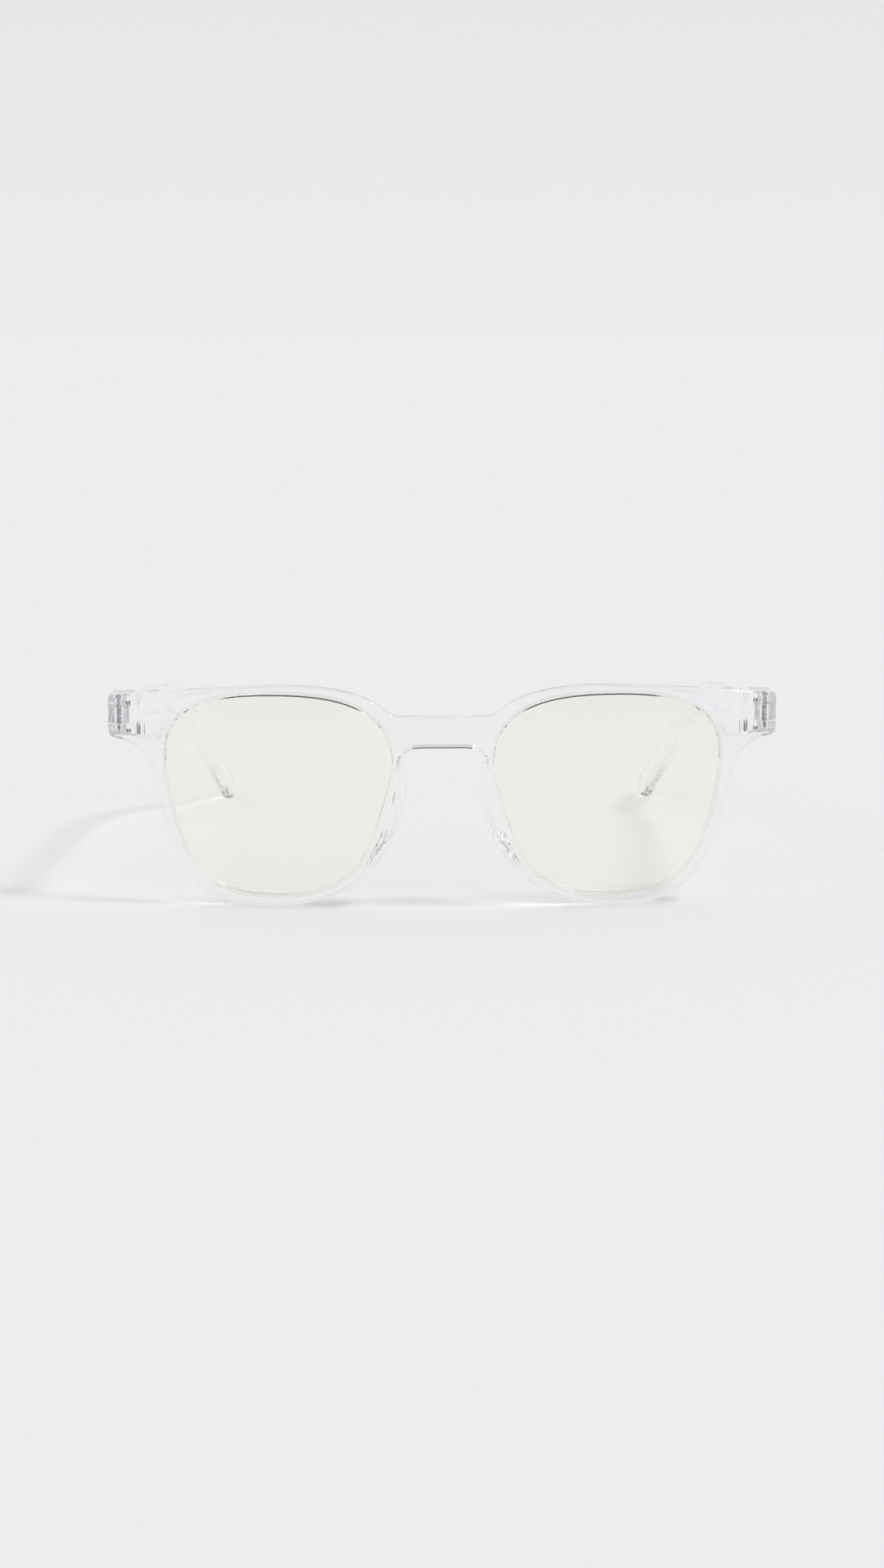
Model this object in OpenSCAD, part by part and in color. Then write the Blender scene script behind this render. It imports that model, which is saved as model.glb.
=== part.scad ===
// Moulded spectacles: a clear front with two lenses in grooves, and two folding temples on screw hinges.
// They stand open on the bottoms of the rims and on the temple tips. Right is +X, the front faces -Y.

/* [Lenses] */
// Width of one lens across its boxed outline
lens_w = 49.4; // [42:0.2:60]
// Height of one lens across its boxed outline
lens_h = 43.9; // [37:0.1:53]
// Thickness of a lens
lens_t = 2; // [1.6:0.1:2.4]
// Radius of a lens's front surface
lens_r = 200; // [160:5:260]
// Set-back of a lens's middle behind the face of the front
lens_set = 0.15; // [0.1:0.05:0.3]
// Depth of the groove that holds the lens's edge
groove_depth = 0.8; // [0.6:0.05:1]
// Clearance between a lens and every wall of its groove
lens_gap = 0.05; // [0.03:0.01:0.06]

/* [Front] */
// Distance between the two lenses
bridge_gap = 19.9; // [17:0.1:24]
// Reach of an endpiece beyond its lens
endpiece_w = 11.65; // [9.8:0.05:14]
// Thickness of the front
front_t = 4.2; // [3.8:0.1:5]
// Radius of the front's wrap, seen from above
wrap_r = 280; // [230:5:340]
// Rim below a lens opening
rim_low = 2.6; // [2.2:0.1:3.2]
// Rim above a lens opening
rim_top = 2.2; // [1.9:0.1:2.7]
// Rim beside a lens opening, on the temple side
rim_side = 4.1; // [3.4:0.1:5]
// Rim beside a lens opening, on the nose side
rim_nose = 1.3; // [1.2:0.1:1.6]

/* [Bridge and nose pads] */
// Height of the bridge between its top and the keyhole
bridge_h = 6.8; // [5.7:0.1:8.1]
// Drop of the bridge's top below the top of the brow
bridge_dip = 6.4; // [5.4:0.1:7.6]
// Half of the gap between the pads at their nearest
pad_gap = 7.6; // [6.4:0.1:9]
// Reach of the pads behind the face of the front
pad_reach = 8.3; // [7:0.1:9.8]
// Radius of a pad's rounded edge
pad_r = 1.3; // [1.1:0.1:1.5]

/* [Hinges] */
// Width of a hinge across the temple
hinge_w = 5; // [4.2:0.1:6]
// Height of the temple's tongue
tongue_h = 3.5; // [3:0.1:4.2]
// Height of the upper prong of the fork
prong_top_h = 2.65; // [2.2:0.05:3.1]
// Height of the lower prong of the fork
prong_low_h = 2.25; // [1.9:0.05:2.7]
// Clearance between the fork and the temple
hinge_gap = 0.1; // [0.06:0.01:0.15]
// Drop of the hinge's top below the top of the brow
hinge_drop = 2.8; // [2.4:0.1:3.3]

/* [Hinge screws] */
// Diameter over the thread
screw_d = 1.3; // [1.1:0.05:1.5]
// Diameter of the head
head_d = 2.1; // [1.9:0.05:2.5]
// Height of the head
head_h = 0.8; // [0.7:0.05:0.95]
// Pitch of the thread
thread_pitch = 0.35; // [0.3:0.01:0.42]
// Radial clearance of a screw in its bores
screw_gap = 0.04; // [0.02:0.01:0.08]
// Depth of the screw's head below the top of the hinge
head_sink = 0.1; // [0.05:0.05:0.2]
// Material left under the end of the screw
screw_floor = 0.6; // [0.4:0.1:0.8]

/* [Temples] */
// Length of a temple from its screw, along the arm and down to the tip
temple_l = 145; // [121:1:174]
// Distance from the screw to the corner of the ear bend
arm_l = 103; // [92:1:110]
// Angle of the ear bend
bend_angle = 39; // [32:1:46]
// Radius of the ear bend along the middle of the temple
bend_r = 34; // [28:1:41]
// Height of the arm at its slimmest
arm_h = 6.8; // [5.7:0.1:8.2]
// Height of the temple beyond the bend
drop_h = 7.2; // [6:0.1:8.6]
// Thickness of the temple behind the hinge
arm_t = 3.2; // [2.7:0.1:3.8]
// Distance that the tips come in towards the head
tip_inset = 14.4; // [12:0.1:17.3]

/* [Hidden] */
$fn = 96;
seg = 9;           // points on one stretch of a curved outline
past = 1;          // how far a cutter runs past the surface it cuts
behind = 16;       // further back than any part of the front
join = 0.01;       // overlap of two solids that become one
fine = 240;        // facets of the large lens and wrap surfaces

// Lens opening: the boxed lens less what sits in the groove
open_w = lens_w - 2 * (groove_depth - lens_gap);
open_h = lens_h - 2 * (groove_depth - lens_gap);
open_x = bridge_gap / 2 + groove_depth - lens_gap;
open_z = rim_low;
lens_mid = [open_x + open_w / 2, open_z + open_h / 2];

// Heights of the front
brow_z = open_z + open_h + rim_top;
bridge_z = brow_z - bridge_dip;
keyhole_z = bridge_z - bridge_h;
half_w = bridge_gap / 2 + lens_w + endpiece_w;

// Hinge: the tongue's middle height, and the axis in plan
half_hinge = hinge_w / 2;
hinge_top = brow_z - hinge_drop;
hinge_z = hinge_top - prong_top_h - hinge_gap - tongue_h / 2;
hinge_low = hinge_z - tongue_h / 2 - hinge_gap - prong_low_h;
pivot_x = half_w - half_hinge;
pivot_y = wrap_depth(half_w) + front_t + half_hinge + hinge_gap;
shoulder = half_hinge + hinge_gap;

// Lens surfaces: the sphere's middle lies on the wrap's radius through the lens
lens_lean = asin(lens_mid[0] / wrap_r);
ball_x = lens_mid[0] - (lens_r + lens_set) * sin(lens_lean);
ball_y = wrap_depth(lens_mid[0]) + (lens_r + lens_set) * cos(lens_lean);

// Standing slope of the arm, so that the tips rest on the ground with the rims
tip_r = drop_h / 2;
drop_l = temple_l - arm_l - tip_r;
reach_along = arm_l + drop_l * cos(bend_angle);
reach_down = drop_l * sin(bend_angle);
arm_slope = asin((hinge_z - tip_r) / norm([reach_along, reach_down])) - atan2(reach_down, reach_along);
drop_slope = arm_slope + bend_angle;
tip = arm_l * heading(arm_slope) + drop_l * heading(drop_slope);

// Stations along the middle of the temple, as distances behind the screw
bend_cut = bend_r * tan(bend_angle / 2);
bend_from = arm_l - bend_cut;
bend_to = bend_from + bend_r * bend_angle * PI / 180;
tip_at = bend_to + drop_l - bend_cut;
bend_middle = bend_from * heading(arm_slope) - bend_r * square_to(arm_slope);
slim_from = 26;                  // where the arm is down to its slimmest
inset_from = bend_from - 14;     // where it starts to come in towards the head
inset_to = inset_from + 18;      // and where it runs straight in
inset_rate = tip_inset / (tip_at - (inset_from + inset_to) / 2);
edge_cut = 0.5;                  // bevel along the temple's long edges

// The whole stands with the middle of its box over the origin
depth = pivot_y + tip[0] + tip_r;

// Depth of the wrap behind the middle of the front, at a distance x to the side
function wrap_depth(x) = wrap_r - sqrt(wrap_r * wrap_r - x * x);

// Directions in side view: along a slope, and square to it, upwards
function heading(slope) = [cos(slope), -sin(slope)];
function square_to(slope) = [sin(slope), cos(slope)];

// A cubic curve through four points: its place and its outward side step at t
function cubic(p, t) =
    pow(1 - t, 3) * p[0] + 3 * pow(1 - t, 2) * t * p[1] + 3 * (1 - t) * t * t * p[2] + pow(t, 3) * p[3];
function cubic_way(p, t) =
    pow(1 - t, 2) * (p[1] - p[0]) + 2 * (1 - t) * t * (p[2] - p[1]) + t * t * (p[3] - p[2]);
function outward(v) = [-v[1], v[0]] / norm(v);
function stretch(p, out = 0) =
    [for (i = [0:seg - 1]) cubic(p, i / seg) + out * outward(cubic_way(p, i / seg))];
function chain(pts, out = 0) =
    [for (k = [0:3:len(pts) - 3]) each stretch([for (j = [0:3]) pts[(k + j) % len(pts)]], out)];
function open_chain(pts) =
    [for (k = [0:3:len(pts) - 4]) each stretch([for (j = [0:3]) pts[k + j]])];
function arc(middle, r, from, to, n = 12) =
    [for (i = [0:n]) middle + r * [cos(from + (to - from) * i / n), sin(from + (to - from) * i / n)]];

// A place in the lens opening, as shares of its width and height
function in_open(fx, fz) = [open_x + fx * open_w, open_z + fz * open_h];
function share(fx, fz) = [fx * open_w, fz * open_h];

// Lens outline, clockwise from the top: every third point is on the curve
lens_curve = [
    in_open(0.52, 1), in_open(0.76, 1), in_open(1, 0.96),
    in_open(1, 0.71), in_open(1, 0.58), in_open(0.96, 0.37),
    in_open(0.905, 0.217), in_open(0.83, 0.03), in_open(0.686, 0),
    in_open(0.516, 0), in_open(0.368, 0), in_open(0.206, 0.038),
    in_open(0.12, 0.217), in_open(0.07, 0.326), in_open(0, 0.6),
    in_open(0, 0.655), in_open(0, 0.98), in_open(0.307, 1)
];

// Turning points of the front's outline on the right half
brow_peak = [lens_mid[0] - 1.6, brow_z];
brow_foot = [open_x - 0.5, bridge_z];
end_top = [half_w, hinge_top + 0.2];
end_low = [half_w, hinge_low + 0.9];
end_toe = [half_w - 1.2, hinge_low - 0.3];
elbow = [open_x + open_w + rim_side, hinge_low - 5.4];
low_outer = in_open(0.905, 0.217) + [0.49, -0.64] * (rim_side + rim_low) / 2 * 1.22;
low_mid = [lens_mid[0] + 2, 0];
low_inner = in_open(0.12, 0.217) + [-0.3, -4.7];
nose_side = [open_x - groove_depth - rim_nose + 0.8, keyhole_z - 5.6];
keyhole_side = [4.8, keyhole_z];

front_curve = [
    brow_foot, brow_foot + [3.1, 2], [16.1 / 33 * brow_peak[0], brow_z],
    brow_peak, brow_peak + [4.5, 0], end_top + [-10.4, 1.25],
    end_top, end_top - [0, 3], end_low + [0, 3],
    end_low, end_low - [0, 0.8], end_toe + [0.5, 0],
    end_toe, end_toe - [2.4, 0], elbow + [0.66, 2.7],
    elbow, elbow - share(0.059, 0.262), low_outer + share(0.094, 0.177),
    low_outer, low_outer - share(0.098, 0.184), low_mid + share(0.182, 0),
    low_mid, low_mid - share(0.168, 0), low_inner + share(0.05, -0.097),
    low_inner, low_inner + share(-0.067, 0.132), nose_side - share(0, 0.172),
    nose_side, nose_side + [0, 3.4], keyhole_side + [3.6, 0],
    keyhole_side
];

// Height of the pads' upper, middle and lower ends
pad_top_z = keyhole_z - 4;
pad_mid_z = keyhole_z - 8;
pad_low_z = open_z + 11;

// Everything is drawn with its depth measured from the face of the front, then moved over the origin
module in_place() { translate([0, -depth / 2, 0]) children(); }
module on_side(side) { mirror([side < 0 ? 1 : 0, 0, 0]) children(); }
module at_pivot() { translate([pivot_x, pivot_y, 0]) children(); }

// A shape drawn in front view, run from one depth to another
module run_back(from, to) {
    translate([0, to, 0]) rotate([90, 0, 0]) linear_extrude(height = to - from) children();
}

// The curved sheet of a lens, or of its groove with some clearance, as wide as the whole opening
module lens_sheet(gap, out) {
    intersection() {
        run_back(-past, behind) polygon(chain(lens_curve, out));
        translate([ball_x, ball_y, lens_mid[1]]) difference() {
            sphere(r = lens_r + gap, $fn = fine);
            sphere(r = lens_r - lens_t - gap, $fn = fine);
        }
    }
}

module front_half_outline() {
    polygon(concat([[0, keyhole_z], [0, bridge_z]], open_chain(front_curve), [keyhole_side]));
}

// The wrapped slab of the front, both halves
module front_slab() {
    intersection() {
        run_back(-past, behind) {
            front_half_outline();
            mirror([1, 0]) front_half_outline();
        }
        translate([0, wrap_r, -past]) difference() {
            cylinder(r = wrap_r, h = brow_z + 2 * past, $fn = 2 * fine);
            translate([0, 0, -past]) cylinder(r = wrap_r - front_t, h = brow_z + 4 * past, $fn = 2 * fine);
        }
    }
}

// Nose pad, swelling back and inwards from the rim
module nose_pad() {
    inner = pad_gap + pad_r;
    hull() {
        translate([inner + 0.7, 3.2, pad_top_z]) sphere(r = pad_r, $fn = 24);
        translate([inner, 4, pad_mid_z]) sphere(r = pad_r, $fn = 24);
        translate([inner + 1.5, pad_reach - pad_r, pad_mid_z - 1]) sphere(r = pad_r, $fn = 24);
        translate([inner + 4, 5.6, pad_low_z + 1]) sphere(r = pad_r, $fn = 24);
        translate([inner + 4, 3, pad_low_z]) sphere(r = pad_r, $fn = 24);
    }
}

// Block behind the endpiece, with a fillet on its inner side
module endpiece_block() {
    back = pivot_y - shoulder;
    inner = pivot_x - half_hinge;
    fillet = 1.6;
    face = wrap_depth(inner) + front_t / 2;   // buried in the slab
    translate([0, 0, hinge_low]) linear_extrude(height = hinge_top - hinge_low)
        polygon(concat([[half_w, face + 1.5], [half_w, back], [inner, back]],
                       arc([inner - fillet, back], fillet, 0, -90, 6),
                       [[inner - fillet, face], [inner, face]]));
}

// Plan of a prong: square towards the outside, so that it stops the open temple, and round inside
module prong_plan() {
    polygon(concat([[half_hinge, -shoulder - 2], [half_hinge, half_hinge]],
                   arc([0, 0], half_hinge, 90, 180), [[-half_hinge, -shoulder - 0.5]]));
}

module fork() {
    at_pivot() {
        translate([0, 0, hinge_top - prong_top_h]) linear_extrude(height = prong_top_h) prong_plan();
        translate([0, 0, hinge_low]) linear_extrude(height = prong_low_h) prong_plan();
    }
}

// Screw hole: clearance through the upper prong, a seat for the head, and a blind hole for the thread
module screw_hole() {
    r = screw_d / 2 + screw_gap;
    low = hinge_low + screw_floor - screw_gap;
    at_pivot() {
        translate([0, 0, low]) cylinder(r = r, h = hinge_top - low + past);
        translate([0, 0, hinge_top - head_sink - head_h])
            cylinder(r = head_d / 2 + screw_gap, h = head_sink + head_h + past);
    }
}

module front_frame() {
    color([0.93, 0.94, 0.95, 0.45]) in_place() difference() {
        union() {
            front_slab();
            for (side = [-1, 1]) on_side(side) {
                nose_pad();
                endpiece_block();
                fork();
            }
        }
        for (side = [-1, 1]) on_side(side) {
            run_back(-past, behind) polygon(chain(lens_curve));
            lens_sheet(lens_gap, groove_depth);
            screw_hole();
        }
    }
}

module lens(side) {
    color([0.95, 0.93, 0.72, 0.4]) in_place() on_side(side) lens_sheet(0, groove_depth - lens_gap);
}

// The middle of the temple in side view, its slope, its height and its inner face at a station
function middle_at(t) =
    t < bend_from ? t * heading(arm_slope)
    : t < bend_to ? bend_middle + bend_r * square_to(slope_at(t))
    : tip + (t - tip_at) * heading(drop_slope);
function slope_at(t) = arm_slope + bend_angle * min(1, max(0, (t - bend_from) / (bend_to - bend_from)));
function ease(t, from, to) = let (k = min(1, max(0, (t - from) / (to - from)))) k * k * (3 - 2 * k);
function height_at(t) =
    t > tip_at ? 2 * sqrt(max(0, tip_r * tip_r - pow(t - tip_at, 2)))
    : hinge_top - hinge_low + (arm_h - hinge_top + hinge_low) * ease(t, shoulder, slim_from)
      + (drop_h - arm_h) * ease(t, slim_from, tip_at);
function inner_at(t) = -half_hinge + (hinge_w - arm_t) * ease(t, shoulder + 2, slim_from);
function inset_at(t) =
    t < inset_from ? 0
    : t < inset_to ? inset_rate * pow(t - inset_from, 2) / 2 / (inset_to - inset_from)
    : inset_rate * (t - (inset_from + inset_to) / 2);

// One ring round the temple: eight corners, [outwards, behind, up] from the middle of the screw
function ring(inner, outer, low, high, cut) = [
    [outer, low + cut], [outer, high - cut], [outer - cut, high], [inner + cut, high],
    [inner, high - cut], [inner, low + cut], [inner + cut, low], [outer - cut, low]
];
function temple_ring(t) =
    let (m = middle_at(t), up = square_to(slope_at(t)), h = height_at(t) / 2)
    [for (c = ring(inner_at(t) - inset_at(t), half_hinge - inset_at(t), -h, h, min(edge_cut, h / 2)))
        [c[0], m[0] + c[1] * up[0], m[1] + c[1] * up[1]]];
shoulder_ring =
    [for (c = ring(-half_hinge, half_hinge, hinge_low - hinge_z, hinge_top - hinge_z, edge_cut / 2))
        [c[0], shoulder, c[1]]];
temple_stations = concat(
    [for (i = [1:6]) shoulder + (slim_from - shoulder) * i / 6], [(slim_from + inset_from) / 2],
    [for (i = [0:4]) inset_from + (bend_from - inset_from) * i / 4],
    [for (i = [1:9]) bend_from + (bend_to - bend_from) * i / 9], [(bend_to + tip_at) / 2],
    [for (a = [0:15:75]) tip_at + tip_r * sin(a)], [tip_at + tip_r * sin(83)]);

// A skin over rings of equal size, closed at both ends
module skin(rings) {
    n = len(rings[0]);
    last = len(rings) - 1;
    polyhedron(
        points = [for (r = rings) each r],
        faces = concat(
            [for (k = [0:last - 1]) for (i = [0:n - 1]) each [
                [k * n + i, k * n + (i + 1) % n, (k + 1) * n + i],
                [k * n + (i + 1) % n, (k + 1) * n + (i + 1) % n, (k + 1) * n + i]]],
            [[for (i = [n - 1:-1:0]) i]], [[for (i = [0:n - 1]) last * n + i]]),
        convexity = 6);
}

module temple(side) {
    root_half = half_hinge - edge_cut;   // the tongue's root, buried in the arm
    root_at = shoulder + 2;
    color([0.93, 0.94, 0.95, 0.45]) in_place() on_side(side) translate([pivot_x, pivot_y, hinge_z])
        difference() {
            union() {
                skin(concat([shoulder_ring], [for (t = temple_stations) temple_ring(t)]));
                translate([0, 0, -tongue_h / 2]) linear_extrude(height = tongue_h)
                    polygon(concat([[root_half, root_at], [half_hinge, shoulder + join]],
                                   arc([0, 0], half_hinge, 0, -180),
                                   [[-half_hinge, shoulder + join], [-root_half, root_at]]));
            }
            translate([0, 0, -tongue_h]) cylinder(r = screw_d / 2 + screw_gap, h = 2 * tongue_h);
        }
}

// Slotted screw: head, a plain neck through the upper prong, then a thread down to the lower prong
module hinge_screw(side) {
    top = hinge_top - head_sink;
    low = hinge_low + screw_floor;
    thread_top = hinge_top - prong_top_h;
    turns = floor((thread_top - low) / thread_pitch - 1);
    r = screw_d / 2;
    root = r - 0.55 * thread_pitch;
    slot_w = 0.34;
    slot_deep = 0.35;
    color([0.62, 0.62, 0.64]) in_place() on_side(side) at_pivot() difference() {
        rotate_extrude() polygon(concat(
            [[0, top], [head_d / 2, top], [head_d / 2, top - head_h], [r, top - head_h]],
            [for (i = [0:turns - 1]) each [[r, thread_top - i * thread_pitch],
                                           [root, thread_top - (i + 0.5) * thread_pitch]]],
            [[root, low], [0, low]]));
        translate([-head_d, -slot_w / 2, top - slot_deep]) cube([2 * head_d, slot_w, slot_deep + past]);
    }
}

module lens_left() { lens(-1); }
module lens_right() { lens(1); }
module temple_left() { temple(-1); }
module temple_right() { temple(1); }
module hinge_screw_left() { hinge_screw(-1); }
module hinge_screw_right() { hinge_screw(1); }

front_frame();
lens_left();
lens_right();
temple_left();
temple_right();
hinge_screw_left();
hinge_screw_right();
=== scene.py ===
"""Clear moulded spectacles with pale yellow lenses, standing open on a pale studio sweep."""

import bpy
import bmesh
import math
from mathutils import Euler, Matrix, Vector
from mathutils.geometry import delaunay_2d_cdt


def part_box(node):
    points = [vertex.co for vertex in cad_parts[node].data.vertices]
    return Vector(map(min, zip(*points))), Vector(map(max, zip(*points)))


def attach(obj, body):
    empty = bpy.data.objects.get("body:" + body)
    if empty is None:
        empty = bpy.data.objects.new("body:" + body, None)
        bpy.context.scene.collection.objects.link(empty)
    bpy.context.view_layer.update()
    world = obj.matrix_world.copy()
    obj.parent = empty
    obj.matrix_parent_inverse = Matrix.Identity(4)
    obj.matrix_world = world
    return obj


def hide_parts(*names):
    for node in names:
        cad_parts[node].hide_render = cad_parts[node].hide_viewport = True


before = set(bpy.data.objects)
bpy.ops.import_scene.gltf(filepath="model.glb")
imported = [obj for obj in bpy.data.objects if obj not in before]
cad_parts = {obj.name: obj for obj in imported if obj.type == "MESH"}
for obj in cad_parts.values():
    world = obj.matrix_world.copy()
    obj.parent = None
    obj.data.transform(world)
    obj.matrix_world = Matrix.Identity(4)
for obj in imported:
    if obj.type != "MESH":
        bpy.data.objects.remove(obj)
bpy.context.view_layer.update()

# ---------------------------------------------------------------- sizes, in millimetres
# u is to the side, v is behind the middle of the front's face, z is up.
MM = 0.001
FRONT_LOW, FRONT_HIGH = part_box("front_frame")
FACE_Y = FRONT_LOW[1]
HALF_W = FRONT_HIGH[0] / MM
BROW_Z = FRONT_HIGH[2] / MM
HINGE_R = 2.5
HINGE_AT = (HALF_W - HINGE_R, 15.95)
HINGE_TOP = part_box("temple_right")[1][2] / MM
HINGE_LOW = HINGE_TOP - 8.6
TONGUE = (38.15, 41.65)
BORE_R = 0.69
WRAP = 280.0
THICK, THIN = 4.2, 3.7
LENS_MID = (34.65, 23.8)
LENS_R, LENS_T, LENS_SET = 200.0, 2.0, 0.15
GROOVE, GAP, BEVEL = 0.8, 0.05, 0.22
CREASE_ANGLE, SCREW_CREASE = 32, 40


def to_row(u, v, z):
    """A point of the shared frame, in metres, from places in millimetres."""
    return Vector((u * MM, FACE_Y + v * MM, z * MM))


def smooth(x, low, high):
    k = min(1.0, max(0.0, (x - low) / (high - low)))
    return k * k * (3 - 2 * k)


def wrap_v(u, depth):
    """How far back the front's sheet lies at a side distance u, a depth under its face."""
    return WRAP - math.sqrt((WRAP - depth) ** 2 - u * u)


def lens_v(u, z, depth):
    """The same for a lens's spherical surfaces."""
    lean = math.asin(LENS_MID[0] / WRAP)
    ball_u = LENS_MID[0] - (LENS_R + LENS_SET) * math.sin(lean)
    ball_v = wrap_v(LENS_MID[0], 0) + (LENS_R + LENS_SET) * math.cos(lean)
    r = LENS_R - depth
    return ball_v - math.sqrt(r * r - (abs(u) - ball_u) ** 2 - (z - LENS_MID[1]) ** 2)


# ---------------------------------------------------------------- outlines
def bezier(points, closed):
    """A fine line through a chain of cubic curves; every third point lies on it."""
    line = []
    count = len(points)
    stop = count if closed else count - 1
    for k in range(0, stop, 3):
        a, b, c, d = (Vector(points[(k + j) % count]) for j in range(4))
        for i in range(40):
            t = i / 40
            line.append((1 - t) ** 3 * a + 3 * (1 - t) ** 2 * t * b + 3 * (1 - t) * t * t * c + t**3 * d)
    if not closed:
        line.append(Vector(points[-1]))
    return line


def even(line, step):
    """The closed line again, with points a step apart."""
    ends = line[1:] + line[:1]
    lengths = [(b - a).length for a, b in zip(line, ends)]
    total = sum(lengths)
    count = int(total / step)
    out = []
    k, run = 0, 0.0
    for i in range(count):
        want = total * i / count
        while run + lengths[k] < want:
            run += lengths[k]
            k += 1
        f = (want - run) / max(lengths[k], 1e-9)
        out.append(line[k].lerp(ends[k], f))
    return out


def spread(line, count):
    """An open line again, as evenly spaced points from end to end."""
    runs = [0.0]
    for a, b in zip(line, line[1:]):
        runs.append(runs[-1] + (b - a).length)
    out, k = [], 0
    for i in range(count):
        want = runs[-1] * i / (count - 1)
        while k < len(line) - 2 and runs[k + 1] < want:
            k += 1
        f = (want - runs[k]) / max(runs[k + 1] - runs[k], 1e-9)
        out.append(line[k].lerp(line[k + 1], min(1.0, f)))
    return out


def soften(line, rounds):
    for _ in range(rounds):
        line = [(line[i - 1] + 2 * p + line[(i + 1) % len(line)]) / 4 for i, p in enumerate(line)]
    return line


def out_ways(line):
    """Directions square to a line that keeps the plastic on its left, pointing out of the plastic."""
    ways = []
    for i in range(len(line)):
        along = line[(i + 1) % len(line)] - line[i - 1]
        ways.append(Vector((along.y, -along.x)).normalized())
    return ways


OPENING = [
    (35.6, 45.0), (47.4, 45.0), (58.6, 43.2),
    (58.6, 32.6), (58.6, 27.1), (56.7, 18.1),
    (54.0, 11.8), (50.4, 3.9), (43.5, 2.6),
    (35.4, 2.6), (28.3, 2.6), (20.5, 4.2),
    (16.4, 11.8), (14.0, 16.5), (10.7, 28.2),
    (10.7, 30.3), (10.7, 44.1), (25.4, 45.0),
]
FRONT_EDGE = [
    (0, 40.8), (3, 40.8), (8, 40.8),
    (10.2, 40.8), (13.3, 42.8), (16.1, BROW_Z),
    (33, BROW_Z), (37.5, BROW_Z), (60.6, 45.85),
    (HALF_W, 44.6), (HALF_W, 41.6), (HALF_W, 39.7),
    (HALF_W, 36.7), (HALF_W, 35.9), (70.3, 35.5),
    (69.8, 35.5), (67.4, 35.5), (63.4, 33.1),
    (62.7, 30.4), (59.9, 19.2), (60.5, 19),
    (55.8, 9.2), (51.2, 1.4), (45.3, 0),
    (36.6, 0), (28.6, 0), (19.6, 2.8),
    (17.1, 7.1), (13.9, 12.7), (9.4, 20.9),
    (9.5, 28.4), (9.5, 31.8), (8.4, 34),
    (4.8, 34), (3, 34), (1.5, 34),
    (0, 34),
]


def opening_line():
    """Right-hand opening, with the plastic on its left."""
    return soften(even(bezier(OPENING, True), 0.5), 2)


def front_line():
    """Whole front, with the plastic on its left."""
    half = bezier(FRONT_EDGE, False)
    left = [Vector((-p.x, p.y)) for p in half]
    whole = left[:-1] + half[::-1][:-1]
    return soften(even(whole, 0.42), 7)


def inside(p, line):
    hit = False
    for i, b in enumerate(line):
        a = line[i - 1]
        if (a.y > p.y) != (b.y > p.y) and p.x < (b.x - a.x) * (p.y - a.y) / (b.y - a.y) + a.x:
            hit = not hit
    return hit


def fill(outer, holes, step, extra=()):
    """Triangles over a flat shape with holes, with a grid of points inside. Ring points keep their order."""
    points = list(outer)
    edges = [(i, (i + 1) % len(outer)) for i in range(len(outer))]
    for hole in holes:
        start = len(points)
        points += hole
        edges += [(start + i, start + (i + 1) % len(hole)) for i in range(len(hole))]
    rings = len(points)
    borders = [outer] + holes
    low = Vector((min(p.x for p in outer), min(p.y for p in outer)))
    high = Vector((max(p.x for p in outer), max(p.y for p in outer)))

    def clear(p, room):
        free = inside(p, outer) and not any(inside(p, h) for h in holes)
        return free and all((p - q).length > room for b in borders for q in b[::2])

    crowd = [p for p in extra if clear(p, 0.3)]
    points += crowd
    row = 0
    z = low.y + step / 2
    while z < high.y:
        u = low.x + (step / 2 if row % 2 else 0)
        while u < high.x:
            p = Vector((u, z))
            if clear(p, 0.7 * step) and all((p - q).length > 0.6 * step for q in crowd):
                points.append(p)
            u += step
        z += step * 0.87
        row += 1
    verts, _, faces, origin, _, _ = delaunay_2d_cdt(points, edges, [], 0, 1e-5)
    order = [o[0] if o else -1 for o in origin]
    if -1 in order:
        raise ValueError(f"rings cross near {verts[order.index(-1)]}")
    kept = []
    for f in faces:
        middle = sum((verts[i] for i in f), Vector((0, 0))) / 3
        if inside(middle, outer) and not any(inside(middle, h) for h in holes):
            kept.append([order[i] for i in f])
    return points, kept, rings


# ---------------------------------------------------------------- meshes
def mesh_object(name, points, faces, material=None):
    mesh = bpy.data.meshes.new(name)
    mesh.from_pydata([tuple(p) for p in points], [], faces)
    bm = bmesh.new()
    bm.from_mesh(mesh)
    bmesh.ops.remove_doubles(bm, verts=bm.verts, dist=1e-7)
    bmesh.ops.recalc_face_normals(bm, faces=bm.faces)
    if bm.calc_volume(signed=True) < 0:
        bmesh.ops.reverse_faces(bm, faces=bm.faces)
    bm.to_mesh(mesh)
    bm.free()
    obj = bpy.data.objects.new(name, mesh)
    bpy.context.scene.collection.objects.link(obj)
    if material:
        mesh.materials.append(material)
    return obj


def strips(rings):
    """Quads between closed rings of equal length, given as lists of point numbers."""
    faces = []
    for a, b in zip(rings, rings[1:]):
        n = len(a)
        faces += [(a[i], a[(i + 1) % n], b[(i + 1) % n], b[i]) for i in range(n)]
    return faces


def merge(base, others, operation):
    """Adds or takes away closed solids, and leaves the base a plain mesh."""
    for other in others:
        m = base.modifiers.new("merge", "BOOLEAN")
        m.operation, m.solver, m.object = operation, "MANIFOLD", other
        graph = bpy.context.evaluated_depsgraph_get()
        mesh = bpy.data.meshes.new_from_object(base.evaluated_get(graph))
        base.modifiers.remove(m)
        bm = bmesh.new()
        bm.from_mesh(mesh)
        bmesh.ops.dissolve_degenerate(bm, edges=bm.edges, dist=2e-7)
        bm.to_mesh(mesh)
        bm.free()
        old = base.data
        base.data = mesh
        bpy.data.meshes.remove(old)
        bpy.data.objects.remove(other)


def finish_shading(obj, angle):
    for p in obj.data.polygons:
        p.use_smooth = True
    obj.data.set_sharp_from_angle(angle=math.radians(angle))


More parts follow.
